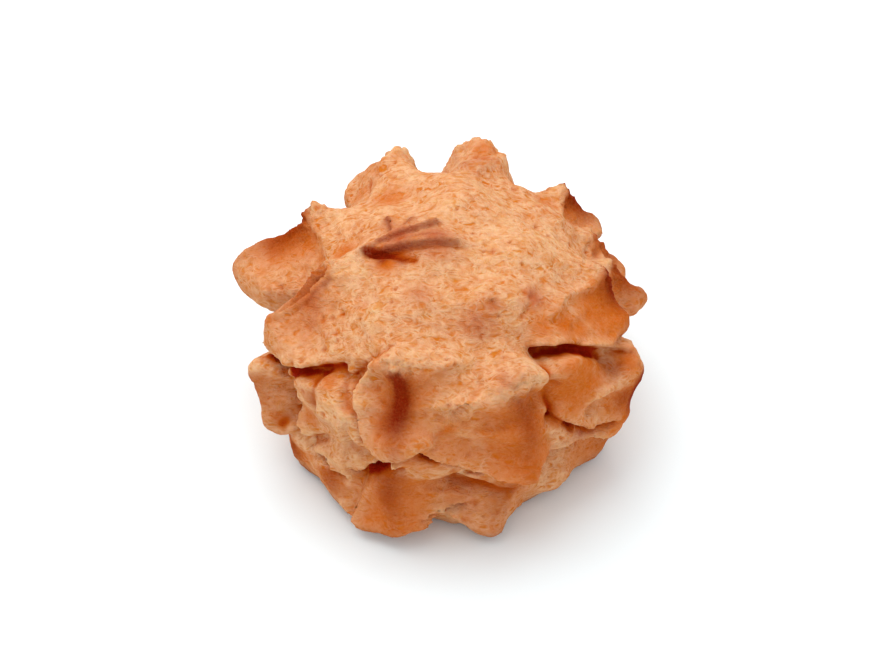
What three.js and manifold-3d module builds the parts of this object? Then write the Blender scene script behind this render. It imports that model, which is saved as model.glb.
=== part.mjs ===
// A cream puff: one bun of choux paste, piped through a large star tube and puffed up in the oven.
// Lengths are in millimetres and angles in degrees. The bun stands on its flat foot, whose centre
// is the origin. +Z is up and -Y is the front. Azimuths run from +X towards +Y.
//
// The bun has three tiers: a domed crown, a belly under it and a broad foot. The star tube left
// ridges on each tier. A ridge stands out from the bun as a lobe, with a knob at its upper end,
// a saddle, and a tip at its lower end, and its two flanks fall away into the grooves.
import * as THREE from "three";
import { mergeVertices } from "three/addons/utils/BufferGeometryUtils.js";
import Module from "manifold-3d";

// ---- Driving dimensions ----

const CELL = 2.4; // spacing of the grid on which the crust is found
const REACH = 46; // half the width of that grid
const TALL = 52; // top of that grid
const UNDER = 12; // how far it goes below the foot, before the foot is cut flat
const JOIN = 1.2; // fillet where one tier meets the next
const EAVE = 1.5; // fillet at the foot of a ridge's flanks
const WEB = 5; // fillet along a ridge's edge, between its knob, saddle and tip
const DOME = { fillet: 3, from: 34, to: 44 }; // how much wider fillets grow, between these heights

// Each tier is a squashed ball with ridges on it, which grow from roots inside the ball.
const TIERS = {
  crown: { centre: 28.5, radii: [26, 25.5, 20.5], root: 12, rootRadius: 11, fillet: 1.5 },
  belly: { centre: 19, radii: [29, 29, 12], root: 14, rootRadius: 10, fillet: 1.5 },
  foot: { centre: 6, radii: [29.5, 29.5, 13.5], root: 14, rootRadius: 8, fillet: 1.6 },
};

// Each ridge: its tier, then azimuth, reach, height and radius of its knob and of its tip, the half
// angles of its left and right flanks seen from outside, how blunt its edge is, how far its saddle
// dips, and how deep its flanks go before they stop widening.
const RIDGES = [
  ["crown", [-65.5, 33.6, 38, 3.8], [-66, 37.2, 18.2, 3], [72, 52], 0.9, 1.6, 9],
  ["crown", [-88, 30, 32, 3], [-90, 33.8, 21.5, 2.4], [76, 76], 3, 0.4, 5],
  ["crown", [-108, 30.3, 41, 3.8], [-105, 36.4, 26, 3.4], [60, 64], 1, 2, 5],
  ["crown", [-167, 22.8, 43, 2], [-165, 34.4, 30.5, 4.4], [42, 70], 0.7, 3.2, 6.5],
  ["crown", [152, 29.4, 41, 3.2], [162, 41.2, 25, 7.5], [50, 46], 0.7, 3.5, 8],
  ["crown", [109, 30.6, 42.3, 3.4], [118, 38, 29, 4], [44, 42], 1.8, 2.5, 7.5],
  ["crown", [76.5, 30.6, 43.2, 4.6], [76, 38, 27, 4], [32, 34], 4.6, 2, 7.5],
  ["crown", [45, 31, 39.4, 1.6], [38, 36, 29.5, 2.6], [52, 52], 0.6, 3.5, 7],
  ["crown", [27, 31, 34, 2], [22, 34.6, 26, 3], [48, 48], 0.8, 2, 5],
  ["crown", [15, 32, 33, 2.2], [14, 37.8, 21.5, 4], [48, 48], 0.8, 2.5, 6],
  ["crown", [-3, 28.4, 39.4, 2], [-10, 34.2, 29.6, 2.6], [68, 50], 0.7, 3.2, 6],
  ["belly", [-18.5, 36.8, 26, 3.4], [-20, 36.8, 14, 3.6], [70, 56], 0.9, 1.6, 7],
  ["belly", [-46, 30.5, 35, 3], [-44, 33.5, 25, 3], [66, 70], 1.6, 1, 5],
  ["belly", [-162, 37.4, 25, 4], [-160, 37.2, 12, 4], [24, 28], 2.6, 0.6, 7.5],
  ["belly", [-150, 32.6, 29.5, 3], [-146, 32.8, 17, 2.6], [40, 74], 1.6, 1, 5],
  ["belly", [-140, 32, 31, 3.2], [-128, 33, 14, 3], [64, 66], 2.4, 1, 5],
  ["belly", [-102, 31, 24, 3], [-96, 32.6, 17.5, 2.6], [66, 70], 2, 1, 5],
  ["belly", [128, 36, 25, 4], [126, 38, 14, 4], [50, 50], 1.2, 1.5, 7.5],
  ["belly", [88, 36, 23, 4], [90, 38, 12.5, 4], [50, 50], 1.2, 1.5, 7.5],
  ["belly", [50, 36, 22, 4], [48, 38, 12, 4], [50, 50], 1.2, 1.5, 7.5],
  ["foot", [-109, 32.6, 16.5, 3], [-108, 36, 4, 3.2], [70, 64], 1, 1.6, 7],
  ["foot", [-68, 31.4, 14, 3], [-74, 33, 3.5, 3.2], [66, 52], 2.4, 1, 6],
  ["foot", [-22, 30.5, 11, 3.4], [-20, 31.2, 4, 3.6], [54, 58], 2.4, 1, 6],
  ["foot", [-154, 30.6, 9.5, 3.2], [-152, 31, 3.5, 3.4], [64, 64], 2, 1, 6],
  ["foot", [-134, 30.4, 9.5, 3.2], [-131, 31.6, 3, 3.2], [66, 66], 2, 1, 6],
];
// The foot goes on round the back as a run of even lobes.
for (let azimuth = 12; azimuth < 180; azimuth += 40)
  RIDGES.push(["foot", [azimuth, 30.5, 10.5, 3.4], [azimuth + 2, 32, 3, 3.6], [58, 58], 2.4, 1, 6]);

// Splits and hollows in the crust: both ends as azimuth, reach and height, the radius, and the
// fillet of the rim.
const SPLITS = [
  { from: [-46, 28, 38.4], to: [-12, 36, 31.6], radius: 1.5, rim: 0.7 },
];
const SPLIT_TAPER = 0.7; // radius at the far end of a split, as a share of the near one

// The unevenness of baked paste: how far it moves the form, over what length, and its seed.
const UNEVEN = { height: 0.8, length: 17, seed: 1 };

// ---- Fields: signed distances in millimetres, negative inside ----

/** The lower of two fields, with a fillet of about this size where they meet. */
function join(a, b, size) {
  const near = Math.max(size - Math.abs(a - b), 0) / size;
  return Math.min(a, b) - (near * near * size) / 4;
}

/** The higher of two fields, with the same fillet. */
const cut = (a, b, size) => -join(-a, -b, size);

/** The point at this azimuth, reach from the axis and height. */
function polar([azimuth, reach, height]) {
  const angle = THREE.MathUtils.degToRad(azimuth);
  return new THREE.Vector3(reach * Math.cos(angle), reach * Math.sin(angle), height);
}

/** A squashed ball on the axis. */
function ball(point, { centre, radii: [a, b, c] }) {
  const q = new THREE.Vector3(point.x / a, point.y / b, (point.z - centre) / c);
  const slope = new THREE.Vector3(q.x / a, q.y / b, q.z / c).length();
  return (q.length() * (q.length() - 1)) / Math.max(slope, 1e-9);
}

/** A round-ended cone from one point to another. */
function cone(point, from, to, fromRadius, toRadius) {
  const along = to.clone().sub(from);
  const offset = point.clone().sub(from);
  const share = THREE.MathUtils.clamp(offset.dot(along) / along.lengthSq(), 0, 1);
  return offset.addScaledVector(along, -share).length() - (fromRadius + (toRadius - fromRadius) * share);
}

/** The field of one ridge: a profile of three cones in the ridge's own plane, with sloping flanks. */
function ridge([tierName, knob, tip, flanks, edge, saddle, depth]) {
  const tier = TIERS[tierName];
  const root = polar([(knob[0] + tip[0]) / 2, tier.root, (knob[2] + tip[2]) / 2 - 1]);
  // The reach given is the outermost point, so each round end's centre is one radius back from it.
  const centreOf = (end) => {
    const outward = polar(end).sub(root).normalize();
    return polar(end).addScaledVector(outward, -end[3]);
  };
  const [top, bottom] = [knob, tip].map(centreOf);
  const middle = top.clone().add(bottom).divideScalar(2);
  middle.addScaledVector(root.clone().sub(middle).normalize(), saddle);
  const side = top.clone().sub(root).cross(bottom.clone().sub(root)).normalize();
  const [left, right] = flanks.map(THREE.MathUtils.degToRad);
  return (point) => {
    const across = point.clone().sub(root).dot(side);
    const flat = point.clone().addScaledVector(side, -across);
    const upper = cone(flat, root, top, tier.rootRadius, knob[3]);
    const lower = cone(flat, root, bottom, tier.rootRadius, tip[3]);
    const web = cone(flat, root, middle, tier.rootRadius, (knob[3] + tip[3]) / 2);
    const profile = cut(join(join(upper, lower, WEB), web, WEB), -depth, EAVE);
    const flank = across > 0 ? right : left;
    const fall = Math.hypot(across, edge) - edge;
    return (profile + fall / Math.tan(flank)) * Math.sin(flank);
  };
}

/** How far the unevenness moves a point. */
function wave(point) {
  const { height, length, seed } = UNEVEN;
  const moved = [0, 0, 0];
  for (let axis = 0; axis < 3; axis++)
    for (let n = 0; n < 3; n++) {
      const a = seed + axis * 2.4 + n * 4.1;
      const run = new THREE.Vector3(Math.cos(a), Math.sin(a * 1.7), Math.cos(a * 2.3 + 1)).normalize();
      moved[axis] += Math.sin(((point.dot(run) * 2 * Math.PI) / length) * (1 + 0.27 * n) + a * 3.7);
    }
  return new THREE.Vector3(...moved).multiplyScalar(height / 1.8);
}

const ridgeFields = RIDGES.map((row) => ({ tier: row[0], field: ridge(row) }));

/** The whole bun, before its foot is cut flat. */
function bun(place) {
  const point = place.clone().add(wave(place));
  const rise = (place.z - DOME.from) / (DOME.to - DOME.from);
  const dome = DOME.fillet * THREE.MathUtils.clamp(rise, 0, 1);
  const tiers = Object.entries(TIERS).map(([name, tier]) =>
    ridgeFields
      .filter((r) => r.tier === name)
      .reduce((d, r) => join(d, r.field(point), tier.fillet + dome), ball(point, tier)),
  );
  const whole = tiers.reduce((a, b) => join(a, b, JOIN));
  return SPLITS.reduce((d, { from, to, radius, rim }) => {
    const hollow = cone(point, polar(from), polar(to), radius, radius * SPLIT_TAPER);
    return cut(d, -hollow, rim);
  }, whole);
}

// ---- From a field to a closed mesh ----

const CORNERS = [0, 1, 2, 3, 4, 5, 6, 7].map((n) => [n & 1, (n >> 1) & 1, n >> 2]);
const EDGES = CORNERS.flatMap((_, n) => [1, 2, 4].filter((bit) => !(n & bit)).map((bit) => [n, n | bit]));

const FACES = [1, 2, 4].flatMap((bit) => [0, bit].map((side) => [bit, side]));

/** How many connected groups the corners in this mask make along the cube's edges. */
function groups(mask) {
  const label = CORNERS.map((_, n) => n);
  for (let pass = 0; pass < 7; pass++)
    for (const [a, b] of EDGES)
      if ((mask >> a) & (mask >> b) & 1) label[a] = label[b] = Math.min(label[a], label[b]);
  return new Set(label.filter((_, n) => (mask >> n) & 1)).size;
}

/** Whether two corners across a face's diagonal are inside and its other two are outside. */
function chequered(mask) {
  return FACES.some(([bit, side]) => {
    const [a, b, c, d] = CORNERS.map((_, n) => n)
      .filter((n) => (n & bit) === side)
      .map((n) => (mask >> n) & 1);
    return a === d && b === c && a !== b;
  });
}

/** Whether a cell with these corners inside would pinch the mesh at a vertex or along an edge. */
const PINCHED = Array.from(
  { length: 256 },
  (_, mask) => groups(mask) > 1 || groups(255 - mask) > 1 || chequered(mask),
);

/** The closed surface where the field is zero, with one vertex in each cell that it crosses. */
function polygonise(field, low, counts, cell) {
  const [nx, ny] = counts;
  const at = (i, j, k) => i + nx * (j + ny * k);
  const value = new Float64Array(counts[0] * counts[1] * counts[2]);
  const eachCell = (visit) => {
    for (let k = 0; k < counts[2] - 1; k++)
      for (let j = 0; j < counts[1] - 1; j++)
        for (let i = 0; i < counts[0] - 1; i++)
          visit(i, j, k, CORNERS.map(([a, b, c]) => at(i + a, j + b, k + c)));
  };
  for (let k = 0; k < counts[2]; k++)
    for (let j = 0; j < counts[1]; j++)
      for (let i = 0; i < counts[0]; i++)
        value[at(i, j, k)] = field(new THREE.Vector3(i, j, k).multiplyScalar(cell).add(low));
  const maskOf = (corners) => corners.reduce((mask, c, n) => mask | ((value[c] < 0) << n), 0);

  // Fill the thinnest gap of each pinched cell, until none is left.
  for (let changed = true; changed; ) {
    changed = false;
    eachCell((i, j, k, corners) => {
      if (!PINCHED[maskOf(corners)]) return;
      const outside = corners.filter((c) => value[c] >= 0);
      const nearest = outside.reduce((a, b) => (value[a] <= value[b] ? a : b));
      value[nearest] = -cell * 0.05;
      changed = true;
    });
  }

  const vertexOf = new Int32Array(value.length).fill(-1);
  const positions = [];
  eachCell((i, j, k, corners) => {
    const crossed = EDGES.filter(([a, b]) => value[corners[a]] < 0 !== value[corners[b]] < 0);
    if (!crossed.length) return;
    const sum = new THREE.Vector3();
    for (const [a, b] of crossed) {
      const share = value[corners[a]] / (value[corners[a]] - value[corners[b]]);
      sum.add(new THREE.Vector3(...CORNERS[a]).lerp(new THREE.Vector3(...CORNERS[b]), share));
    }
    vertexOf[corners[0]] = positions.length / 3;
    const vertex = sum.divideScalar(crossed.length).add(new THREE.Vector3(i, j, k));
    positions.push(...vertex.multiplyScalar(cell).add(low));
  });

  // Each grid edge that crosses the surface joins the vertices of the four cells round it.
  const index = [];
  const step = [1, nx, nx * ny];
  for (let k = 1; k < counts[2] - 1; k++)
    for (let j = 1; j < counts[1] - 1; j++)
      for (let i = 1; i < counts[0] - 1; i++)
        for (let axis = 0; axis < 3; axis++) {
          const here = at(i, j, k);
          const inside = value[here] < 0;
          if (inside === value[here + step[axis]] < 0) continue;
          const [u, w] = [step[(axis + 1) % 3], step[(axis + 2) % 3]];
          const [a, b, c, d] = [here - u - w, here - w, here, here - u].map((n) => vertexOf[n]);
          index.push(...(inside ? [a, b, c, a, c, d] : [a, c, b, a, d, c]));
        }
  return new THREE.BufferGeometry()
    .setAttribute("position", new THREE.Float32BufferAttribute(positions, 3))
    .setIndex(index);
}

// ---- The solid, with its foot cut flat ----

const wasm = await Module();
wasm.setup();

/** A closed geometry as a manifold-3d solid. */
function solidOf(geometry) {
  const bare = geometry.clone();
  bare.deleteAttribute("normal");
  bare.deleteAttribute("uv");
  const merged = mergeVertices(bare);
  const vertProperties = new Float32Array(merged.attributes.position.array);
  const triVerts = new Uint32Array(merged.index.array);
  return new wasm.Manifold(new wasm.Mesh({ numProp: 3, vertProperties, triVerts }));
}

/** A manifold-3d solid as a geometry. */
function geometryOf(solid) {
  const mesh = solid.getMesh();
  const geometry = new THREE.BufferGeometry()
    .setAttribute("position", new THREE.BufferAttribute(new Float32Array(mesh.vertProperties), 3))
    .setIndex(new THREE.BufferAttribute(new Uint32Array(mesh.triVerts), 1));
  geometry.computeVertexNormals();
  return geometry;
}

const wide = Math.ceil((2 * REACH) / CELL) + 1;
const high = Math.ceil((TALL + UNDER) / CELL) + 1;
const crust = polygonise(bun, new THREE.Vector3(-REACH, -REACH, -UNDER), [wide, wide, high], CELL);
const belowFoot = new THREE.BoxGeometry(4 * REACH, 4 * REACH, 4 * UNDER).translate(0, 0, -2 * UNDER);

const material = new THREE.MeshStandardMaterial({ color: 0xd99a5c, roughness: 0.62, metalness: 0 });
const choux = new THREE.Mesh(geometryOf(solidOf(crust).subtract(solidOf(belowFoot))), material);
choux.name = "choux_bun";

const puff = new THREE.Group();
puff.name = "cream_puff";
puff.add(choux);

export default puff;
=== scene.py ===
"""A cream puff of ridged, browned choux paste, with its crust, studio floor, lights and camera."""
from math import cos, pi, radians, sin

import bpy
import numpy as np
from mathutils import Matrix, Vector, noise
from mathutils.kdtree import KDTree


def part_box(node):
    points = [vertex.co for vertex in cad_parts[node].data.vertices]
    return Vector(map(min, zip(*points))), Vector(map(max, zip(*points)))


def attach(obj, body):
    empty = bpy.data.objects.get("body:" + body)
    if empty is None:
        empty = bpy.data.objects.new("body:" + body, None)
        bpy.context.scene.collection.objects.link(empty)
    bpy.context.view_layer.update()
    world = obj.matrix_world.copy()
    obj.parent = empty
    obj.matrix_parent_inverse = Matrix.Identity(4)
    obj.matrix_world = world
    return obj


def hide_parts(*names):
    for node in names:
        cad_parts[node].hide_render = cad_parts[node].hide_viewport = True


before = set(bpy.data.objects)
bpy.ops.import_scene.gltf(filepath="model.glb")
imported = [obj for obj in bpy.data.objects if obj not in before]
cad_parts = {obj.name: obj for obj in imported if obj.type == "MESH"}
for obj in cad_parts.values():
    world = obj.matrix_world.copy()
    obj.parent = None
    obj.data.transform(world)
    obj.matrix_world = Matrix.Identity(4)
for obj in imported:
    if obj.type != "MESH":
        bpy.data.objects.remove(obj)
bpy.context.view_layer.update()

bl_info = {
    "name": "Cream Puff",
    "version": (1, 0, 0),
    "blender": (4, 5, 0),
    "location": "3D View > Sidebar > Cream Puff",
    "description": "Models a baked choux bun and its studio",
    "category": "Add Mesh",
}

MM = 0.001
BUN = "choux_bun"  # the solid that the crust replaces

# ---- The bun's form, in millimetres and degrees, as the solid has it ----

JOIN = 1.2  # fillet where one tier meets the next
EAVE = 1.5  # fillet at the foot of a ridge's flanks
WEB = 5  # fillet along a ridge's edge, between its knob, saddle and tip
DOME_FILLET, DOME_FROM, DOME_TO = 3, 34, 44  # how much wider the fillets grow, and between which heights

# Each tier is a squashed ball with ridges on it, which grow from roots inside the ball.
TIERS = {
    "crown": {"centre": 28.5, "radii": (26, 25.5, 20.5), "root": 12, "root_radius": 11, "fillet": 1.5},
    "belly": {"centre": 19, "radii": (29, 29, 12), "root": 14, "root_radius": 10, "fillet": 1.5},
    "foot": {"centre": 6, "radii": (29.5, 29.5, 13.5), "root": 14, "root_radius": 8, "fillet": 1.6},
}

# Each ridge: its tier, then azimuth, reach, height and radius of its knob and of its tip, the half
# angles of its left and right flanks seen from outside, how blunt its edge is, how far its saddle
# dips, how deep its flanks go before they stop widening, and how brown its saddle and its flanks are.
RIDGES = [
    # The crown's, clockwise from above, from the front
    ("crown", (-65.5, 33.6, 38, 3.8), (-66, 37.2, 18.2, 3), (72, 52), 0.9, 1.6, 9, (0.42, 0.85)),
    ("crown", (-88, 30, 32, 3), (-90, 33.8, 21.5, 2.4), (76, 76), 3, 0.4, 5, (0, 0.6)),
    ("crown", (-108, 30.3, 41, 3.8), (-105, 36.4, 26, 3.4), (60, 64), 1, 2, 5, (1, 0.6)),
    ("crown", (-167, 22.8, 43, 2), (-165, 34.4, 30.5, 4.4), (42, 70), 0.7, 3.2, 6.5, (0.35, 0.35)),
    ("crown", (152, 29.4, 41, 3.2), (162, 41.2, 25, 7.5), (50, 46), 0.7, 3.5, 8, (0.6, 0.3)),
    ("crown", (109, 30.6, 42.3, 3.4), (118, 38, 29, 4), (44, 42), 1.8, 2.5, 7.5, (0.2, 0.15)),
    ("crown", (76.5, 30.6, 43.2, 4.6), (76, 38, 27, 4), (32, 34), 4.6, 2, 7.5, (0.1, 0.1)),
    ("crown", (45, 31, 39.4, 1.6), (38, 36, 29.5, 2.6), (52, 52), 0.6, 3.5, 7, (0.8, 0.3)),
    ("crown", (27, 31, 34, 2), (22, 34.6, 26, 3), (48, 48), 0.8, 2, 5, (0.5, 0.3)),
    ("crown", (15, 32, 33, 2.2), (14, 37.8, 21.5, 4), (48, 48), 0.8, 2.5, 6, (0.6, 0.5)),
    ("crown", (-3, 28.4, 39.4, 2), (-10, 34.2, 29.6, 2.6), (68, 50), 0.7, 3.2, 6, (0.8, 0.95)),
    # The belly's: two at the right front, four from the left to the front, and three at the back
    ("belly", (-18.5, 36.8, 26, 3.4), (-20, 36.8, 14, 3.6), (70, 56), 0.9, 1.6, 7, (1, 0.9)),
    ("belly", (-46, 30.5, 35, 3), (-44, 33.5, 25, 3), (66, 70), 1.6, 1, 5, (0, 0.9)),
    ("belly", (-162, 37.4, 25, 4), (-160, 37.2, 12, 4), (24, 28), 2.6, 0.6, 7.5, (0.3, 0.25)),
    ("belly", (-150, 32.6, 29.5, 3), (-146, 32.8, 17, 2.6), (40, 74), 1.6, 1, 5, (0, 0)),
    ("belly", (-140, 32, 31, 3.2), (-128, 33, 14, 3), (64, 66), 2.4, 1, 5, (0.1, 0.05)),
    ("belly", (-102, 31, 24, 3), (-96, 32.6, 17.5, 2.6), (66, 70), 2, 1, 5, (0, 0.3)),
    ("belly", (128, 36, 25, 4), (126, 38, 14, 4), (50, 50), 1.2, 1.5, 7.5, (0.7, 0.5)),
    ("belly", (88, 36, 23, 4), (90, 38, 12.5, 4), (50, 50), 1.2, 1.5, 7.5, (0.7, 0.5)),
    ("belly", (50, 36, 22, 4), (48, 38, 12, 4), (50, 50), 1.2, 1.5, 7.5, (0.7, 0.5)),
    # The foot's, at the front
    ("foot", (-109, 32.6, 16.5, 3), (-108, 36, 4, 3.2), (70, 64), 1, 1.6, 7, (0.45, 0.8)),
    ("foot", (-68, 31.4, 14, 3), (-74, 33, 3.5, 3.2), (66, 52), 2.4, 1, 6, (0.3, 0.35)),
    ("foot", (-22, 30.5, 11, 3.4), (-20, 31.2, 4, 3.6), (54, 58), 2.4, 1, 6, (0.4, 0.7)),
    ("foot", (-154, 30.6, 9.5, 3.2), (-152, 31, 3.5, 3.4), (64, 64), 2, 1, 6, (0.5, 0.3)),
    ("foot", (-134, 30.4, 9.5, 3.2), (-131, 31.6, 3, 3.2), (66, 66), 2, 1, 6, (0.4, 0.3)),
]
# The foot goes on round the back as a run of even lobes.
for azimuth in range(12, 180, 40):
    RIDGES.append(
        ("foot", (azimuth, 30.5, 10.5, 3.4), (azimuth + 2, 32, 3, 3.6), (58, 58), 2.4, 1, 6, (0.4, 0.4)))

# Splits: both ends as azimuth, reach and height, the radius, and the rim's fillet.
SPLITS = [
    ((-46, 28, 38.4), (-12, 36, 31.6), 1.5, 0.7),
]
SPLIT_TAPER = 0.7  # a split's far radius, as a share of its near one
FOOT_EDGE = 0.6  # fillet round the flat foot
UNEVEN = {"height": 0.8, "length": 17, "waves": 3, "seed": 1}

# ---- The grid on which the crust is found ----

COARSE = 4  # how many cells the rough first pass spans
BAND = 1.5  # half the depth of the exact grid, in cells of the rough one
MARGIN = 4  # how far the grid reaches past the solid
FAR, NEAR, STRIDE = 50, 10, 0.25  # from and to where, and how finely, a place on the bun is looked for

# ---- How the crust is baked, and where shade and highlight are painted on it ----

BAKES = ("tan", "brown", "blush", "hollow", "pale", "pore")  # the attributes that its material reads

# A ridge browns along its saddle and tans beside it and on its flanks. Each colour sets in and fades
# between two places along the ridge, whose knob is at 0 and tip at 1, and loses this share as it fades.
SADDLE_FROM, SADDLE_TO, SADDLE_LOSS = (-0.12, 0.1), (0.35, 1.1), 0.7
FLANK_FROM, FLANK_TO, FLANK_LOSS = (-0.1, 0.15), (0.9, 1.3), 0.4
SADDLE_WIDTH, SADDLE_TAN_WIDTH, FLANK_WIDTH, KNOB_WIDTH = 2.4, 6.24, 9.5, 4.6
SADDLE_BROWN, SADDLE_TAN = 1.3, 1.8  # how strong a saddle's brown and tan are, beside what its ridge says
FOOT_BROWN, FOOT_BROWN_HEIGHT = 0.6, 5  # how brown the foot's rim is, and up to where

# Hollows and edges are felt for this far out of and into the crust. How shut in a point is there, or how
# thin, runs from 0 on a flat crust to 1 and over. Hollows are painted with shade by it, and edges with a
# highlight.
PROBE = 2.6
HOLLOW_SHADE = ((0.4, 0.55, 1.05), (0.6, 1, 1.5))  # shares of a hollow's painted shade, and between where each comes
SUNK_SHADE = (0.35, 1.3)  # the same for the painted shade of a stroke's or pit's depth
THIN = (0.35, 0.85)  # and for an edge, which also gets a painted highlight
KNOB_PALE_AND_HIGHLIGHT, EDGE_HIGHLIGHT = 0.7, 0.6  # how pale knobs are, partly as painted highlight, and how strong the painted highlight on edges is

# ---- How rough the crust is ----

LUMP_SIZE, CRUMB_SIZE = 3.2, 1.5  # spacing of the crust's bubbles and of the crumbs on its knobs
LUMP_FALL, CRUMB_FALL = 1, 0.7  # how quickly their finer layers die down
FINER, LAYERS = 2.1, 2  # how much finer each layer is than the last, and how many there are
FACES_CALM = 0.7  # how much of their lumps tanned faces and thin edges lose
CRUMBS_ELSEWHERE = 0.12  # how strong the crumbs are off the knobs
PORE_RADII, PORE_DEPTH, PORE_SHADE = (0.35, 0.8), 0.35, 0.4  # sizes, and how strongly they are darkened with painted shade
PORES_LOST = 0.6  # how much of their depth pores lose on tanned faces
FOOT_CALM = (0.3, 2.5)  # between which heights roughness sets in, so that the foot stays flat

# ---- Scales of the materials' patterns, in repeats to the metre ----

BROAD_SCALE, FINE_SCALE, FIBRE_SCALE, CARD_SCALE = 120, 480, 400, 60
DRAWN = (0.5, 0.9, 1)  # the strands are drawn out, most of all from left to right
CARD_TINT = (0.93, 1, 1.02)  # the floor's colour, beside its tone

# ---- The studio, in metres and millimetres of lens ----

AIM = Vector((-0.0024, 0, 0.022))  # what the camera and the lamp point at
LENS, SENSOR = 133.5, 36
FLOOR = 3
KEY_PLACE, KEY_SIZE = Vector((-0.1, 0.1, 0.5)), 0.5

# ---- Finer relief than the solid holds, and where it lies ----

CENTRE = 24  # height of the point on the axis from which places on the crust are seen

# Strokes along the crust, each with its places as azimuth and elevation from the centre. Then come how
# far the crust rises to the left of the stroke, seen from outside and going along it, and over what
# width that fades, and the same to the right. Less than nothing is a drop. Last is how brown it is, or
# how pale if less than nothing. The brown in creases and under the tail is painted shade, and the pale
# on lips is painted highlight.
STROKES = [
    # Lips, where a lobe stands out over what is under it, each with a painted highlight
    ([(-113, 34), (-120, 28), (-124, 18), (-115, 0), (-110, -1), (-100, 4)], (0.9, 2.6), (-0.8, 1.4), -0.6),
    ([(-97, 1), (-85, -5), (-65, -9)], (0.6, 2.4), (-1.5, 1.3), -0.6),
    ([(-55, 6), (-38, -10), (-30, -11)], (0.7, 2.4), (-1, 1.4), -0.6),
    ([(-50, 29), (-40, 25), (-18, 7)], (0.7, 2.4), (-1.2, 1), -0.6),
    ([(-165, 20), (-162, 32), (-165, 44)], (-0.8, 1), (0.8, 1), -0.8),
    ([(-164, 8), (-158, 7), (-145, 13), (-134, 21)], (0.7, 2.6), (-1, 1.4), -0.6),
    ([(-153, -14), (-147, -14), (-144, -21), (-128, -24)], (0.6, 2.4), (-0.9, 1.1), -0.6),
    ([(-124, -20), (-126, -10), (-124, 4)], (0.5, 2), (-0.4, 1.6), -0.6),
    ([(-130, -16), (-122, -20), (-115, -14), (-106, -4)], (0.5, 2.4), (-1.3, 1.3), -0.6),
    ([(-107, -3), (-119, -23), (-121, -30), (-116, -33)], (0.8, 2.4), (-0.7, 1.4), -0.6),
    ([(-97, -27), (-86, -27)], (0.7, 1.8), (-0.8, 1), -0.6),
    # Creases between lobes, painted with shade by their depth, and some with brown as painted shade too
    ([(-51, 26), (-55, 22), (-54, 7)], (-1.2, 1.1), (-1.2, 1.1), 0),
    ([(-50, 27), (-40, 23), (-25, 9)], (-1.1, 0.9), (-1.1, 0.9), 0),
    ([(-148, 9), (-150, 2), (-153, -6), (-154, -18)], (-1.5, 1.1), (-1.5, 1.1), 0.2),
    ([(-116, -16), (-106, -12)], (-0.9, 1), (-0.9, 1), 0),
    ([(-92, -17), (-87, -22), (-64, -23)], (-0.9, 1.2), (-0.9, 1.2), 0),
    ([(-148, 10), (-133, 19)], (-0.7, 0.9), (-0.7, 0.9), 0),
    ([(-79, 25), (-87, 18)], (-0.6, 0.8), (-0.6, 0.8), 0),
    ([(-139, 17), (-137, 2)], (-0.7, 0.8), (-0.7, 0.8), 0.3),
    ([(-130, 18), (-124, 11)], (-0.7, 0.8), (-0.7, 0.8), 0.3),
    ([(121, 25), (137, 37)], (-0.9, 0.9), (-0.9, 0.9), 0.2),
    # The tail of the piping, flopped over on the crown: a fan of pleats that meet at its beak
    ([(-160, 57), (-150, 68), (-135, 74), (-70, 79)], (1.5, 2.6), (-0.8, 1), 0.9),
    ([(-160, 57), (-167, 62), (-172, 75), (157, 85)], (1.1, 1.2), (-0.4, 1), 0.85),
    ([(159, 63), (-178, 67)], (0.9, 0.7), (-0.3, 0.7), 0.8),
    ([(155, 73), (180, 71)], (0.9, 0.7), (-0.3, 0.7), 0.8),
    ([(-100, 82), (-146, 77), (-156, 69)], (0.5, 0.7), (-0.4, 0.7), 0.5),
    # The mouth under the main pleat, sunk and browned as a painted shadow
    ([(-157, 59), (-130, 68)], (-0.9, 1.2), (-0.9, 0.9), 1.3),
    # Rough rims and crests of knobs
    ([(-160, 41), (-160, 29), (-162, 19)], (0.4, 1.6), (-0.2, 1.2), 0.6),
    ([(-72, 24), (-65, 28), (-57, 21)], (1.1, 2), (0.8, 1.6), -0.6),
    ([(87, 32), (85, 42), (76, 51), (67, 42), (67, 34)], (0.7, 1.1), (0.7, 1.1), 0.25),
]
STROKE_REACH = 3  # how many widths away a stroke still matters
STEP = 0.6  # over what width a stroke's left side turns into its right
STROKE_DEPTH = 1.5  # how far in or out of its line a stroke still has its full strength
STROKE_WIDTHS = (0.72, 0.36)  # how far its colour reaches, at its start and at its end
STROKE_LOSS = 0.5  # how much of its colour it loses by its end

# Pits in the crust: azimuth, elevation, depth and radius. Their depth also paints shade in them.
PITS = [
    (-145, 35, 1, 0.6), (-139, 27, 0.8, 0.5), (-64, 51, 0.8, 0.6), (-42, 46, 0.7, 0.6), (-47, 43, 0.8, 0.6),
    (-39, 34, 0.7, 0.9), (-91.5, 8, 0.9, 1.9), (-141, 13, 0.7, 1.8), (-133, 17, 0.7, 1.6),
    (-52, 17, 0.8, 1), (-40, -15, 0.7, 1.8), (-34, -16, 0.7, 1.8), (-85, -30, 0.8, 0.9),
    (-70, -29, 0.7, 0.8),
]
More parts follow.
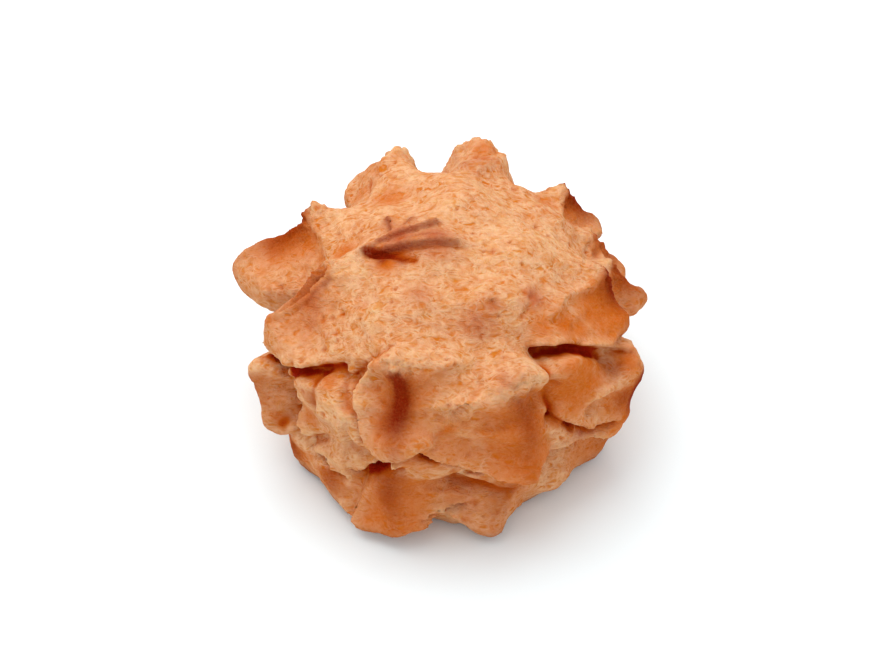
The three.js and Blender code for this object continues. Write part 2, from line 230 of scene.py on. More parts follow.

# Patches of the crust that baked differently, and patches of painted shade and highlight: azimuth,
# elevation, radius and how strongly.
PATCHES = {
    "brown": [
        # Painted shadow in the mouth under the tail, and brown down the edge of the right front lobe
        (-155, 60, 1.2, 1), (-150, 60, 1.3, 0.9), (-140, 65, 1.2, 0.8), (-25, 5, 2.8, 0.6),
        (-25, -5, 2.8, 0.6),
    ],
    "blush": [
        # The tail, the two left ridges and the lobe under them
        (-160, 70, 4.5, 1), (-125, 80, 4, 1), (170, 65, 2.2, 0.6), (-160, 30, 3, 0.9),
        (-155, 25, 3.5, 0.5), (160, 15, 3, 0.8), (-155, 5, 2.2, 0.6),
        # Spots on the dome and on the right knobs
        (-110, 55, 2.4, 0.65), (-65, 50, 1.8, 0.8), (-75, 45, 3, 0.65), (-40, 45, 2.2, 1), (40, 25, 2, 0.8),
        (75, 45, 3.2, 0.6),
        # The front lobes, from the crown down to the foot
        (-110, 10, 2.4, 0.8), (-70, 25, 2, 0.6), (-40, -10, 2.6, 0.9), (-85, -25, 3.4, 0.5),
        (-110, -20, 2.6, 0.6),
    ],
    "tan": [
        # The right front lobes, above and under the split
        (-35, 30, 3.6, 1), (-45, 35, 2.8, 0.8), (-30, 25, 3, 0.9), (-20, 25, 2.4, 1), (-45, 20, 3.2, 0.9),
        (-35, 15, 3.4, 1), (-30, 10, 3.4, 0.9), (-20, 5, 3, 0.9), (-45, -5, 2.4, 0.8), (-35, -30, 4, 0.7),
        # Round the tail, and the rough side of the left ridge
        (180, 45, 2.8, 0.9), (-145, 60, 2.2, 1), (160, 25, 3.4, 1), (170, 30, 2.4, 0.8),
        # Painted shade under the knobs at the back
        (130, 50, 3.2, 0.8), (125, 20, 2.2, 0.7), (75, 40, 2.4, 0.7), (40, 35, 2.6, 0.7),
        # Painted shade in the hollows between the front lobes
        (-90, 10, 2.2, 1), (-100, 20, 3, 0.4), (-115, 30, 2, 0.7), (-135, 15, 2.4, 0.8),
        (-50, 15, 1.5, 0.9), (-145, -10, 2, 0.8), (-155, -15, 2, 0.8), (-110, -15, 2, 1),
        (-90, -25, 3, 0.6), (-75, -25, 2.2, 0.6),
    ],
    # Pale patches: partly the crust's paler bake, partly painted highlight on the dome, the knobs and the
    # left lobes
    "pale": [
        # The dome, and the necks of the knobs at the back
        (15, 65, 4, 0.7), (10, 50, 3.4, 0.8), (80, 80, 3, 0.6), (-85, 70, 2.2, 0.7), (-120, 60, 2, 0.7),
        (-35, 60, 2.2, 0.5), (-130, 45, 2, 0.5), (115, 50, 2.6, 0.9), (65, 60, 2.6, 0.9),
        (-160, 50, 2.2, 0.7),
        # The front knobs and lobes
        (-95, 35, 2.6, 0.9), (-70, 30, 2.6, 0.9), (-125, 10, 2.4, 0.6), (-95, -5, 2.4, 0.6),
        (-140, 10, 2.2, 0.6), (-160, -5, 2.6, 0.8), (-85, -20, 2.4, 0.5), (-145, -25, 2.4, 0.6),
        (-150, 15, 3.6, 0.7), (-130, 0, 3.6, 0.7),
    ],
}


def polar(azimuth, reach, height):
    """The point at this azimuth, reach from the axis and height."""
    angle = radians(azimuth)
    return np.array((reach * cos(angle), reach * sin(angle), height))


def join(a, b, size):
    """The lower of two fields, with a fillet of about this size where they meet."""
    near = np.maximum(size - np.abs(a - b), 0) / size
    return np.minimum(a, b) - near * near * size / 4


def cut(a, b, size):
    """The higher of two fields, with the same fillet."""
    return -join(-a, -b, size)


def ramp(values, low, high):
    """Values eased from 0 at the low end to 1 at the high one."""
    share = np.clip((values - low) / (high - low), 0, 1)
    return share * share * (3 - 2 * share)


def fade(distance, width, power=2):
    """From 1 at no distance to nearly 0 past the width, more squarely the higher the power."""
    return np.exp(-(distance / width) ** power)


def ball(points, centre, radii):
    """A squashed ball on the axis."""
    radii = np.array(radii, float)
    scaled = (points - (0, 0, centre)) / radii
    length = np.linalg.norm(scaled, axis=1)
    slope = np.linalg.norm(scaled / radii, axis=1)
    return length * (length - 1) / np.maximum(slope, 1e-9)


def cone(points, start, end, start_radius, end_radius):
    """A round-ended cone from one point to another."""
    along = end - start
    offset = points - start
    share = np.clip(offset @ along / (along @ along), 0, 1)
    return np.linalg.norm(offset - share[:, None] * along, axis=1) - (
        start_radius + (end_radius - start_radius) * share)


def ridge_line(ridge):
    """A ridge's root, and the centres of its knob and tip, whose reach is to their outer side."""
    tier, knob, tip = TIERS[ridge[0]], ridge[1], ridge[2]
    root = polar((knob[0] + tip[0]) / 2, tier["root"], (knob[2] + tip[2]) / 2 - 1)
    centres = []
    for end in (knob, tip):
        outward = polar(*end[:3]) - root
        centres.append(polar(*end[:3]) - outward / np.linalg.norm(outward) * end[3])
    return root, *centres


def ridge_field(points, ridge):
    """The field of one ridge, and how far each point lies across it."""
    tier_name, knob, tip, (left, right), edge, saddle, depth, _ = ridge
    root, top, bottom = ridge_line(ridge)
    side = np.cross(top - root, bottom - root)
    side /= np.linalg.norm(side)
    across = (points - root) @ side
    flat = points - across[:, None] * side
    root_radius = TIERS[tier_name]["root_radius"]
    upper = cone(flat, root, top, root_radius, knob[3])
    lower = cone(flat, root, bottom, root_radius, tip[3])
    middle = (top + bottom) / 2
    inward = (root - middle) / np.linalg.norm(root - middle)
    web_radius = (knob[3] + tip[3]) / 2
    web = cone(flat, root, middle + inward * saddle, root_radius, web_radius)
    profile = cut(join(join(upper, lower, WEB), web, WEB), -depth, EAVE)
    flank = np.radians(np.where(across > 0, right, left))
    fall = np.hypot(across, edge) - edge
    return (profile + fall / np.tan(flank)) * np.sin(flank), across


def uneven(points):
    """How far the unevenness of the paste moves each point: the sum of a few waves along each axis."""
    moved = np.zeros_like(points)
    for axis in range(3):
        for n in range(UNEVEN["waves"]):
            # Each wave has an angle of its own, which its direction and its phase come from.
            angle = UNEVEN["seed"] + axis * 2.4 + n * 4.1
            run = np.array((cos(angle), sin(angle * 1.7), cos(angle * 2.3 + 1)))
            run /= np.linalg.norm(run)
            turns = points @ run * (2 * pi / UNEVEN["length"]) * (1 + 0.27 * n)
            moved[:, axis] += np.sin(turns + angle * 3.7)
    return moved * UNEVEN["height"] / 1.8


def bun(places):
    """The field of the whole bun as the solid has it."""
    points = places + uneven(places)
    dome = DOME_FILLET * np.clip((places[:, 2] - DOME_FROM) / (DOME_TO - DOME_FROM), 0, 1)
    whole = None
    for name, tier in TIERS.items():
        field = ball(points, tier["centre"], tier["radii"])
        for ridge in RIDGES:
            if ridge[0] == name:
                field = join(field, ridge_field(points, ridge)[0], tier["fillet"] + dome)
        whole = field if whole is None else join(whole, field, JOIN)
    for start, end, radius, rim in SPLITS:
        hollow = cone(points, polar(*start), polar(*end), radius, radius * SPLIT_TAPER)
        whole = cut(whole, -hollow, rim)
    return whole


def on_bun(azimuth, elevation):
    """The outermost point of the bun in this direction from the centre."""
    around, up = radians(azimuth), radians(elevation)
    towards = np.array((cos(up) * cos(around), cos(up) * sin(around), sin(up)))
    places = (0, 0, CENTRE) + np.arange(FAR, NEAR, -STRIDE)[:, None] * towards
    return places[np.argmax(bun(places) < 0)]


def stroke_lines():
    """Each stroke with its places found on the bun."""
    return [(np.array([on_bun(*place) for place in places]), *values) for places, *values in STROKES]


def patched(points, name, values):
    """These values, raised in the patches of this name."""
    for azimuth, rise, radius, strength in PATCHES[name]:
        distance = np.linalg.norm(points - on_bun(azimuth, rise), axis=1)
        values = np.maximum(values, strength * fade(distance, radius))
    return values


def follow(points, line):
    """How far each point is from a line along the crust and to its left, and the share of it gone by."""
    distance, side, gone = np.full(len(points), np.inf), np.zeros(len(points)), np.zeros(len(points))
    for n, (start, end) in enumerate(zip(line, line[1:])):
        along = end - start
        offset = points - start
        share = np.clip(offset @ along / (along @ along), 0, 1)
        offset -= share[:, None] * along
        out = (start + end) / 2 - (0, 0, CENTRE)
        leftward = np.cross(out, along)
        height = offset @ out / np.linalg.norm(out)
        over = np.sqrt(np.maximum((offset ** 2).sum(axis=1) - height ** 2, 0))
        from_line = np.hypot(over, np.maximum(np.abs(height) - STROKE_DEPTH, 0))
        side = np.where(from_line < distance, offset @ leftward / np.linalg.norm(leftward), side)
        gone = np.where(from_line < distance, (n + share) / (len(line) - 1), gone)
        distance = np.minimum(from_line, distance)
    return distance, side, gone


def relief(points, lines, pits):
    """How far the strokes and pits raise and sink the crust at each point, and how the strokes colour it:
    brown, which in creases and under the tail is painted shade, and pale, which on lips is painted
    highlight.
    """
    raised, sunk, stain_shade_and_highlight = (np.zeros(len(points)) for _ in range(3))
    for line, (left, left_width), (right, right_width), colour in lines:
        reach = STROKE_REACH * max(left_width, right_width)
        near = np.all((points > line.min(axis=0) - reach) & (points < line.max(axis=0) + reach), axis=1)
        distance, side, gone = follow(points[near], line)
        leftness = np.clip(side / STEP + 0.5, 0, 1)
        move = left * leftness * fade(distance, left_width)
        move += right * (1 - leftness) * fade(distance, right_width)
        width = STROKE_WIDTHS[0] + (STROKE_WIDTHS[1] - STROKE_WIDTHS[0]) * gone
        stain_shade_and_highlight[near] += colour * (1 - STROKE_LOSS * gone) * fade(distance, width)
        raised[near] += np.maximum(move, 0)
        sunk[near] += np.maximum(-move, 0)
    for place, depth, radius in pits:
        sunk += depth * fade(np.linalg.norm(points - place, axis=1), radius, 4)
    return raised, sunk, stain_shade_and_highlight


def crust(places, lines, pits):
    """The field of the bun with its strokes and pits, and its foot cut flat."""
    raised, sunk, _ = relief(places, lines, pits)
    return cut(bun(places) - raised + sunk, -places[:, 2], FOOT_EDGE)


def bake_ridges(points):
    """How far the ridges tan and brown each point, and how near it is to a knob of the crown."""
    tan, brown, knob = (np.zeros(len(points)) for _ in range(3))
    for ridge in RIDGES:
        field, across = ridge_field(points, ridge)
        _, top, bottom = ridge_line(ridge)
        along = (points - top) @ (bottom - top) / ((bottom - top) @ (bottom - top))
        saddle, flank = ridge[-1]
        on_ridge = fade(np.maximum(field, 0), 1)
        burnt = ramp(along, *SADDLE_FROM) * (1 - SADDLE_LOSS * ramp(along, *SADDLE_TO)) * on_ridge
        brown = np.maximum(brown, saddle * burnt * fade(across, SADDLE_WIDTH))
        tan = np.maximum(tan, min(1, SADDLE_TAN * saddle) * burnt * fade(across, SADDLE_TAN_WIDTH))
        face = ramp(along, *FLANK_FROM) * (1 - FLANK_LOSS * ramp(along, *FLANK_TO))
        tan = np.maximum(tan, flank * face * on_ridge * fade(across, FLANK_WIDTH, 4))
        if ridge[0] == "crown":
            distance = np.linalg.norm(points - polar(*ridge[1][:3]), axis=1)
            knob = np.maximum(knob, fade(distance, KNOB_WIDTH))
    return tan, brown, knob


def bake(places, normals, lines, pits):
    """What the crust's attributes are at each point, but for its pores, and how near it is to a knob
    and to an edge, all from 0 to 1. Besides the bake, they hold painted shade in hollows, creases, pits and
    under the tail, and painted highlight on knobs, edges and lips."""
    tan, brown, knob = bake_ridges(places + uneven(places))
    _, sunk, stain_shade_and_highlight = relief(places, lines, pits)
    shut_in = 1 - crust(places + normals * PROBE, lines, pits) / PROBE
    thin = 1 + crust(places - normals * PROBE, lines, pits) / PROBE
    # Painted shade in hollows, creases and pits: shut-in or sunk points are coloured amber to deep orange
    hollow = sum(share * ramp(shut_in, low, high) for share, low, high in HOLLOW_SHADE)
    hollow = np.minimum(hollow + ramp(sunk, *SUNK_SHADE), 1)
    edge = ramp(thin, *THIN)
    # Painted highlight on knobs, edges and lips, over the pale patches of the crust
    pale = KNOB_PALE_AND_HIGHLIGHT * patched(places, "pale", knob) + EDGE_HIGHLIGHT * edge + np.maximum(-stain_shade_and_highlight, 0)
    # Brown also carries the strokes' painted shade in creases and the painted shadow in the mouth under the
    # tail
    brown = patched(places, "brown", np.maximum(SADDLE_BROWN * brown, stain_shade_and_highlight))
    brown += FOOT_BROWN * ramp(-places[:, 2], -FOOT_BROWN_HEIGHT, 0)
    # Tan's patches include painted shade under the knobs at the back and in the hollows between the front
    # lobes
    return {
        "tan": patched(places, "tan", tan),
        "brown": np.clip(brown, 0, 1),
        "blush": patched(places, "blush", np.zeros(len(places))),
        "hollow": hollow,
        "pale": np.clip(pale, 0, 1) * (1 - hollow),
        "knob": knob,
        "edge": edge,
    }


def roughen(places, normals, bakes, look):
    """How far bubbles, crumbs and pores raise each point of the crust, and how deep in a pore it is, which
    is painted as shade.
    """
    lumps, crumbs = np.empty(len(places)), np.empty(len(places))
    for n, place in enumerate(places):
        lumps[n] = noise.fractal(Vector(place / LUMP_SIZE), LUMP_FALL, FINER, LAYERS)
        crumbs[n] = noise.fractal(Vector(place / CRUMB_SIZE), CRUMB_FALL, FINER, LAYERS)
    raised = look.lumps * lumps * (1 - FACES_CALM * np.maximum(bakes["tan"], bakes["edge"]))
    raised += look.crumbs * crumbs * (CRUMBS_ELSEWHERE + (1 - CRUMBS_ELSEWHERE) * bakes["knob"])
    pore = np.zeros(len(places))
    tree = KDTree(len(places))
    for n, place in enumerate(places):
        tree.insert(place, n)
    tree.balance()
    rng = np.random.default_rng(look.seed)
    for n in rng.integers(len(places), size=look.pores):
        radius = rng.uniform(*PORE_RADII)
        for _, near, distance in tree.find_range(places[n], radius):
            pore[near] = max(pore[near], 1 - (distance / radius) ** 2)
    pore *= 1 - PORES_LOST * bakes["tan"]
    return raised - PORE_DEPTH * pore, pore * PORE_SHADE


# ---- Mesh work ----

def select_only(piece):
    """Makes a piece the only selected one, and the active one."""
    bpy.ops.object.select_all(action="DESELECT")
    piece.select_set(True)
    bpy.context.view_layer.objects.active = piece


def place_corners(piece, places):
    """Moves a piece's vertices to these places, which are in millimetres."""
    piece.data.vertices.foreach_set("co", (places * MM).ravel())
    piece.data.update()


def outward(piece):
    """A piece's vertex normals."""
    normals = np.empty(len(piece.data.vertices) * 3)
    piece.data.vertices.foreach_get("normal", normals)
    return normals.reshape(-1, 3)


def sample(field, low, counts, cell):
    """A field's values on a grid, exact near the surface and rough away from it."""
    coarse_counts = (counts - 1) // COARSE + 1
    coarse = np.stack(np.meshgrid(*[np.arange(n) for n in coarse_counts], indexing="ij"), axis=-1)
    rough = field(coarse.reshape(-1, 3) * (cell * COARSE) + low).reshape(coarse_counts)
    nearest = [(np.arange(n) + COARSE // 2) // COARSE for n in counts]
    values = rough[np.ix_(*nearest)]
    near = np.argwhere(np.abs(values) < BAND * cell * COARSE)
    values[tuple(near.T)] = field(near * cell + low)
    return values


def polygonise(field, low, high, cell):
    """The closed surface where a field is zero, with a vertex in each cell that it crosses and quads
    between them."""
    counts = np.ceil((high - low) / (cell * COARSE)).astype(int) * COARSE + 1
    values = sample(field, low, counts, cell)
    inside = values < 0
    cells = counts - 1

    def corner(array, shift):
        return array[tuple(slice(s, s + n) for s, n in zip(shift, cells))]

    # A cell's vertex is the mean of the places where the surface crosses the cell's edges.
    total = np.zeros((*cells, 3))
    crossings = np.zeros(cells)
    corner_shifts = [(i, j, k) for i in (0, 1) for j in (0, 1) for k in (0, 1)]
    for first in corner_shifts:
        for axis in range(3):
            if first[axis]:
                continue
            second = tuple(s + (n == axis) for n, s in enumerate(first))
            here, there = corner(values, first), corner(values, second)
            crossed = corner(inside, first) != corner(inside, second)
            share = np.where(crossed, here / np.where(crossed, here - there, 1), 0)
            total += crossed[..., None] * np.array(first, float)
            total[..., axis] += share
            crossings += crossed
    live = crossings > 0
    number = np.full(cells, -1)
    number[live] = np.arange(live.sum())
    vertices = low + cell * (np.argwhere(live) + total[live] / crossings[live][:, None])

    # Each grid edge that the surface crosses has a quad round it, between the four cells that share it.
    quads = []
    for axis in range(3):
        u, w = np.eye(3, dtype=int)[(axis + 1) % 3], np.eye(3, dtype=int)[(axis + 2) % 3]
        start = [0 if n == axis else 1 for n in range(3)]
        here = inside[tuple(slice(s, n) for s, n in zip(start, cells))]
        step = [s + (n == axis) for n, s in enumerate(start)]
        there = inside[tuple(slice(s, n + (k == axis)) for k, (s, n) in enumerate(zip(step, cells)))]
        crossed = np.argwhere(here != there)
        outward_first = here[tuple(crossed.T)]
        base = crossed + start
        ring = np.stack([number[tuple((base - move).T)] for move in (u + w, w, 0 * u, u)], axis=1)
        ring[~outward_first] = ring[~outward_first][:, ::-1]
        quads.append(ring)
    return vertices, np.concatenate(quads)


# ---- Shader work ----

def node(tree, kind, inputs=None, **settings):
    """Adds a shader node with these settings, and its inputs set or linked."""
    made = tree.nodes.new("ShaderNode" + kind)
    for name, value in settings.items():
        setattr(made, name, value)
    for name, value in (inputs or {}).items():
        if isinstance(value, bpy.types.NodeSocket):
            tree.links.new(value, made.inputs[name])
        else:
            made.inputs[name].default_value = value
    return made


def blend(tree, factor, first, second):
    """Mixes two colours by a factor."""
    return node(tree, "Mix", {0: factor, 6: first, 7: second}, data_type="RGBA").outputs[2]


def maths(tree, operation, *values, clamp=False):
    """Works out one value from others."""
    return node(tree, "Math", dict(enumerate(values)), operation=operation, use_clamp=clamp).outputs[0]


def spread(tree, value, low, high, to_low=0.0, to_high=1.0):
    """Maps a value from one range to another, and clamps it."""
    inputs = {"Value": value, "From Min": low, "From Max": high, "To Min": to_low, "To Max": to_high}
    return node(tree, "MapRange", inputs).outputs["Result"]


def group(name, inputs, outputs):
    """A new shader node group with these float or vector inputs and float outputs."""
    tree = bpy.data.node_groups.new(name, "ShaderNodeTree")
    for label, kind in inputs:
        tree.interface.new_socket(label, in_out="INPUT", socket_type="NodeSocket" + kind)
    for label in outputs:
        tree.interface.new_socket(label, in_out="OUTPUT", socket_type="NodeSocketFloat")
    return tree, tree.nodes.new("NodeGroupInput").outputs, tree.nodes.new("NodeGroupOutput").inputs


def mottle_group():
    """Broad and fine unevenness, as of baked paste or of card."""
    tree, given, put = group("Mottle", [("Vector", "Vector"), ("Scale", "Float")], ["Broad", "Fine"])
    broad = node(tree, "TexNoise", {"Vector": given["Vector"], "Scale": given["Scale"], "Detail": 3})
    finer = maths(tree, "MULTIPLY", given["Scale"], 5)
    inputs = {"Vector": given["Vector"], "Scale": finer, "Detail": 5, "Roughness": 0.7}
    fine = node(tree, "TexNoise", inputs)
    tree.links.new(spread(tree, broad.outputs["Fac"], 0.35, 0.65), put["Broad"])
    tree.links.new(spread(tree, fine.outputs["Fac"], 0.3, 0.7), put["Fine"])
    return tree


def fibre_group():
    """Thin, tangled strands, as where the bubbles of a paste have dried and torn."""
    tree, given, put = group("Fibres", [("Vector", "Vector"), ("Scale", "Float")], ["Strands", "Bubbles"])
    strands = None
    for times, warp in ((1, 0.8), (2.2, 0.6)):
        scale = maths(tree, "MULTIPLY", given["Scale"], times)
        inputs = {"Vector": given["Vector"], "Scale": scale, "Detail": 2, "Distortion": warp}
        wave = node(tree, "TexNoise", inputs)
        off = maths(tree, "ABSOLUTE", maths(tree, "SUBTRACT", wave.outputs["Fac"], 0.5))
        line = spread(tree, off, 0.01, 0.09 * times, 1, 0)
        strands = line if strands is None else maths(tree, "MAXIMUM", strands, line)
    tree.links.new(strands, put["Strands"])
    cells = node(tree, "TexVoronoi", {"Vector": given["Vector"], "Scale": given["Scale"]}, feature="F1")
    tree.links.new(spread(tree, cells.outputs["Distance"], 0.1, 0.75), put["Bubbles"])
    return tree


def use(tree, made, vector, scale):
    """Places a node group that takes a vector and a scale in a material."""
    placed = node(tree, "Group", node_tree=made)
    tree.links.new(vector, placed.inputs["Vector"])
    placed.inputs["Scale"].default_value = scale
    return placed.outputs


def crust_material(look, mottle, fibres):
    """Baked choux: pale on top, golden on its faces, brown on its ridges and deep orange in its folds, with
    painted highlight on knobs, edges and lips and painted shade in hollows, creases, folds and pores.
    """
    material = bpy.data.materials.new("baked_choux")
    material.use_nodes = True
    tree = material.node_tree
    shader = tree.nodes["Principled BSDF"]
    vector = node(tree, "TexCoord").outputs["Object"]
    tan, brown, blush, hollow, pale, pore = (
        node(tree, "Attribute", attribute_name=name).outputs["Fac"] for name in BAKES)
    big = use(tree, mottle, vector, BROAD_SCALE)
    small = use(tree, mottle, vector, FINE_SCALE)
    drawn = node(tree, "VectorMath", {0: vector, 1: DRAWN}, operation="MULTIPLY").outputs[0]
    fibre = use(tree, fibres, drawn, FIBRE_SCALE)

    # The layers of colour, each over the last
    # Pale crust, with painted highlight on knobs, edges and lips
    paleness = maths(tree, "ADD", pale, spread(tree, big["Broad"], 0, 1, -0.45, 0.5), clamp=True)
    colour = blend(tree, paleness, (*look.golden, 1), (*look.pale, 1))
    gap = maths(tree, "MULTIPLY", spread(tree, fibre["Bubbles"], 0, 1, 0.2, 1), small["Fine"])
    colour = blend(tree, gap, colour, (*look.tan, 1))
    thread = maths(tree, "MULTIPLY", fibre["Strands"], spread(tree, big["Fine"], 0.1, 0.7, 0.2, 0.65))
    colour = blend(tree, thread, colour, (*look.thread, 1))
    flush = maths(tree, "ADD", blush, spread(tree, small["Broad"], 0.5, 1, 0, 0.2), clamp=True)
    flush = maths(tree, "MULTIPLY", flush, spread(tree, small["Fine"], 0, 1, 0.75, 1))
    colour = blend(tree, flush, colour, (*look.blush, 1))
    # Tan, which in some patches is painted shade under knobs and between lobes
    uneven_tan = maths(tree, "MULTIPLY", tan, spread(tree, small["Fine"], 0, 1, 0.75, 1.15), clamp=True)
    colour = blend(tree, uneven_tan, colour, (*look.tan, 1))
    # Painted shade: amber in shallow hollows and pores, deep orange deep in the folds
    depth = maths(tree, "MAXIMUM", hollow, pore)
    colour = blend(tree, spread(tree, depth, 0, 0.5), colour, (*look.amber_shade, 1))
    colour = blend(tree, spread(tree, depth, 0.45, 1), colour, (*look.fold_shade, 1))
    # Brown on saddles and the foot's rim, and painted shade in creases and under the tail
    browning = maths(tree, "MULTIPLY", brown, spread(tree, small["Fine"], 0, 1, 0.8, 1.1), clamp=True)
    colour = blend(tree, browning, colour, (*look.brown, 1))
    tree.links.new(colour, shader.inputs["Base Color"])

    # Strands stand out, bubbles are sunk, and all of it is grainy.
    height = maths(tree, "SUBTRACT", maths(tree, "MULTIPLY", fibre["Strands"], 0.6),
                   maths(tree, "MULTIPLY", fibre["Bubbles"], 0.5))
    height = maths(tree, "ADD", height, maths(tree, "MULTIPLY", small["Fine"], 0.4))
    bump = node(tree, "Bump", {"Height": height, "Strength": look.grain, "Distance": 0.0006})
    tree.links.new(bump.outputs["Normal"], shader.inputs["Normal"])
    tree.links.new(spread(tree, small["Fine"], 0, 1, 0.6, 0.8), shader.inputs["Roughness"])
    shader.inputs["Subsurface Weight"].default_value = 0.15
    shader.inputs["Subsurface Radius"].default_value = (1, 0.3, 0.1)
    shader.inputs["Subsurface Scale"].default_value = 0.0018
    shader.inputs["Specular IOR Level"].default_value = 0.02
    return material


def floor_material(tone, mottle):
    """Matt white card, a little cool."""
    material = bpy.data.materials.new("studio_card")
    material.use_nodes = True
    tree = material.node_tree
    shader = tree.nodes["Principled BSDF"]
    grain = use(tree, mottle, node(tree, "TexCoord").outputs["Object"], CARD_SCALE)
    tree.links.new(spread(tree, grain["Fine"], 0, 1, 0.8, 0.95), shader.inputs["Roughness"])
    shader.inputs["Base Color"].default_value = (*(tone * tint for tint in CARD_TINT), 1)
    shader.inputs["Specular IOR Level"].default_value = 0.1
    return material


# ---- What a user may change ----

def shade(name, description, colour):
    """A colour property."""
    return bpy.props.FloatVectorProperty(
        name=name, description=description, subtype="COLOR", size=3, min=0, max=1, default=colour)


class CHOUX_PG_crust(bpy.types.PropertyGroup):
    """How the crust is shaped and baked, and where shade and highlight are painted on it"""

    cell: bpy.props.FloatProperty(
        name="Grid spacing", description="Spacing in millimetres of the grid on which the crust is found",
        default=0.52, min=0.3, max=2)
    lumps: bpy.props.FloatProperty(
        name="Lumps", description="How far the crust's bubbles stand out, in millimetres",
        default=0.35, min=0, max=2)
    crumbs: bpy.props.FloatProperty(
        name="Crumbs", description="How rough the knobs are, in millimetres", default=0.9, min=0, max=2)
    pores: bpy.props.IntProperty(
        name="Pores", description="How many small burst bubbles pit the crust", default=320, min=0)
    seed: bpy.props.IntProperty(name="Seed", description="Seed of where the pores fall", default=4, min=0)
    grain: bpy.props.FloatProperty(
        name="Grain", description="Strength of the finest relief", subtype="FACTOR",
        default=0.6, min=0, max=1)
    # Pale crust, and the painted highlight on knobs, lips and edges
    pale: shade("Pale", "Knobs, lips and the top of the dome", (0.7, 0.35, 0.125))
    golden: shade("Golden", "The general crust", (0.59, 0.195, 0.026))
    # Tan also paints shade under the knobs at the back and in the hollows between the front lobes
    tan: shade("Tan", "Flanks of the ridges", (0.56, 0.115, 0.005))
    blush: shade("Blush", "Pinkish patches", (0.45, 0.105, 0.04))
    thread: shade("Thread", "Dried strands of paste", (0.82, 0.55, 0.34))
    # Brown also paints shade in creases and a shadow in the mouth under the tail
    brown: shade("Brown", "Saddles of the ridges and the foot's rim", (0.21, 0.012, 0.001))
    # Painted shade: amber in shallow hollows and pores, fold deep in the folds
    amber_shade: shade("Amber", "In the shallow hollows and the pores", (0.5, 0.095, 0.005))
    fold_shade: shade("Fold", "Deep in the folds", (0.3, 0.01, 0.0006))


class CHOUX_PG_studio(bpy.types.PropertyGroup):
    """The floor, the lights and the camera"""

    tone: bpy.props.FloatProperty(
        name="Floor tone", description="How light the floor is", subtype="FACTOR",
        default=0.9, min=0, max=1)
    sky: bpy.props.FloatProperty(
        name="Sky", description="Strength of the light from all round", default=1, min=0)
    key: bpy.props.FloatProperty(
        name="Key light", description="Power of the large lamp overhead, a little to the left and behind",
        unit="POWER", default=1.7, min=0)
    elevation: bpy.props.FloatProperty(
        name="Elevation", description="How high the camera looks from", subtype="ANGLE",
        default=radians(45))
    distance: bpy.props.FloatProperty(
        name="Distance", description="From the camera to what it looks at", unit="LENGTH",
        default=0.6, min=0.2)


# ---- The pieces ----

class CHOUX_OT_crust(bpy.types.Operator):
    """Models the bun's crust round the solid, and bakes it, painting shade in its hollows and highlight on
    its edges
    """

    bl_idname = "choux.crust"
    bl_label = "Crust"

    def execute(self, context):
        look = context.scene.choux_crust
        lines = stroke_lines()
        pits = [(on_bun(azimuth, rise), depth, radius) for azimuth, rise, depth, radius in PITS]
        low, high = (np.array(corner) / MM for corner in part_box(BUN))
        vertices, quads = polygonise(lambda places: crust(places, lines, pits),
                                     low - MARGIN, high + MARGIN, look.cell)
        mesh = bpy.data.meshes.new("bun_crust")
        mesh.from_pydata(vertices * MM, [], quads.tolist())
        piece = bpy.data.objects.new("bun_crust", mesh)
        context.collection.objects.link(piece)
        select_only(piece)
        bpy.ops.object.shade_smooth()

        normals = outward(piece)
        bakes = bake(vertices, normals, lines, pits)
        # The pores' colour is painted shade in them
        raised, bakes["pore"] = roughen(vertices, normals, bakes, look)
        raised *= ramp(vertices[:, 2], *FOOT_CALM)
        place_corners(piece, vertices + normals * raised[:, None])
        for name in BAKES:
            layer = mesh.attributes.new(name, "FLOAT", "POINT")
            layer.data.foreach_set("value", bakes[name])
        mesh.materials.append(crust_material(look, mottle_group(), fibre_group()))
        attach(piece, "root")
        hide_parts(BUN)
        return {"FINISHED"}


class CHOUX_OT_camera(bpy.types.Operator):
    """Aims a camera down at the bun from the front"""

    bl_idname = "choux.camera"
    bl_label = "Camera"

    def execute(self, context):
        studio = context.scene.choux_studio
        away = Vector((0, -cos(studio.elevation), sin(studio.elevation)))
        bpy.ops.object.camera_add(location=AIM + studio.distance * away,
                                  rotation=(pi / 2 - studio.elevation, 0, 0))
        camera = context.object
        camera.name = "view"
        camera.data.lens, camera.data.sensor_width = LENS, SENSOR
        context.scene.camera = camera
        return {"FINISHED"}


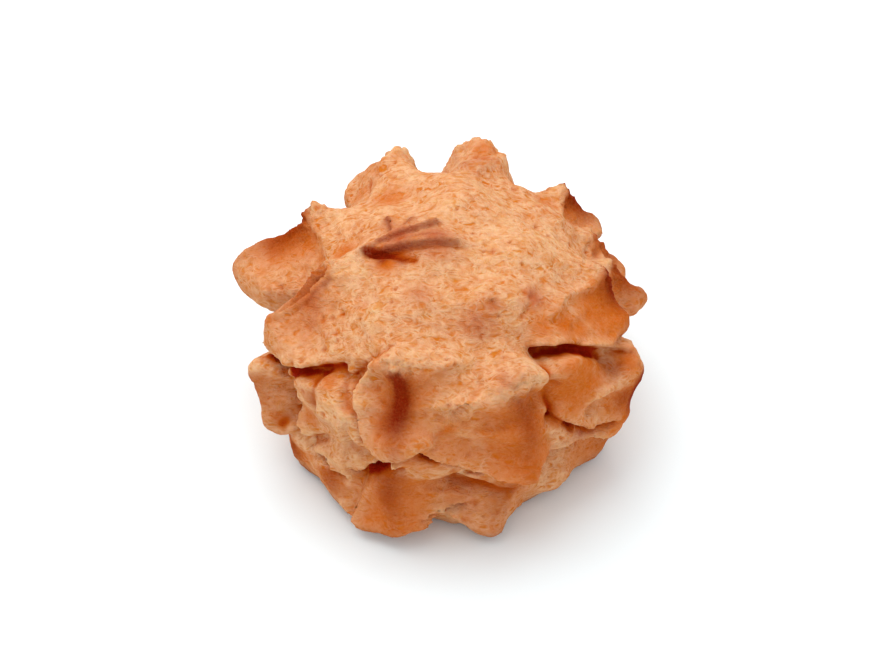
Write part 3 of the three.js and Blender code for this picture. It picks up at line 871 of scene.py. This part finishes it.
class CHOUX_OT_stage(bpy.types.Operator):
    """Lays a pale floor under the bun and lights it"""

    bl_idname = "choux.stage"
    bl_label = "Stage"

    def execute(self, context):
        studio = context.scene.choux_studio
        bpy.ops.object.select_all(action="DESELECT")
        bpy.ops.mesh.primitive_plane_add(size=FLOOR)
        floor = context.object
        floor.name = "studio_floor"
        floor.data.materials.append(floor_material(studio.tone, bpy.data.node_groups["Mottle"]))
        world = bpy.data.worlds.new("studio")
        context.scene.world = world
        world.use_nodes = True
        world.node_tree.nodes["Background"].inputs["Strength"].default_value = studio.sky
        world.node_tree.nodes["Background"].inputs["Color"].default_value = (1, 1, 1, 1)
        bpy.ops.object.light_add(type="AREA", location=KEY_PLACE)
        lamp = context.object
        lamp.name = "key"
        lamp.data.size = KEY_SIZE
        lamp.data.energy = studio.key
        lamp.rotation_euler = (AIM - KEY_PLACE).to_track_quat("-Z", "Y").to_euler()
        context.scene.view_settings.view_transform = "Standard"
        return {"FINISHED"}


class CHOUX_PT_panel(bpy.types.Panel):
    """Lists the pieces and what a user may change"""

    bl_idname = "CHOUX_PT_panel"
    bl_label = "Cream Puff"
    bl_space_type = "VIEW_3D"
    bl_region_type = "UI"
    bl_category = "Cream Puff"

    def draw(self, context):
        for operators, values in (((CHOUX_OT_crust,), context.scene.choux_crust),
                                  ((CHOUX_OT_camera, CHOUX_OT_stage), context.scene.choux_studio)):
            box = self.layout.box()
            for name in values.__annotations__:
                box.prop(values, name)
            for operator in operators:
                box.operator(operator.bl_idname)


CLASSES = (
    CHOUX_PG_crust, CHOUX_PG_studio, CHOUX_OT_crust, CHOUX_OT_camera, CHOUX_OT_stage, CHOUX_PT_panel)


def register():
    for cls in CLASSES:
        bpy.utils.register_class(cls)
    bpy.types.Scene.choux_crust = bpy.props.PointerProperty(type=CHOUX_PG_crust)
    bpy.types.Scene.choux_studio = bpy.props.PointerProperty(type=CHOUX_PG_studio)


def unregister():
    del bpy.types.Scene.choux_crust, bpy.types.Scene.choux_studio
    for cls in reversed(CLASSES):
        bpy.utils.unregister_class(cls)


def main():
    register()
    bpy.ops.choux.camera()
    bpy.ops.choux.crust()
    bpy.ops.choux.stage()


if __name__ == "__main__":
    main()
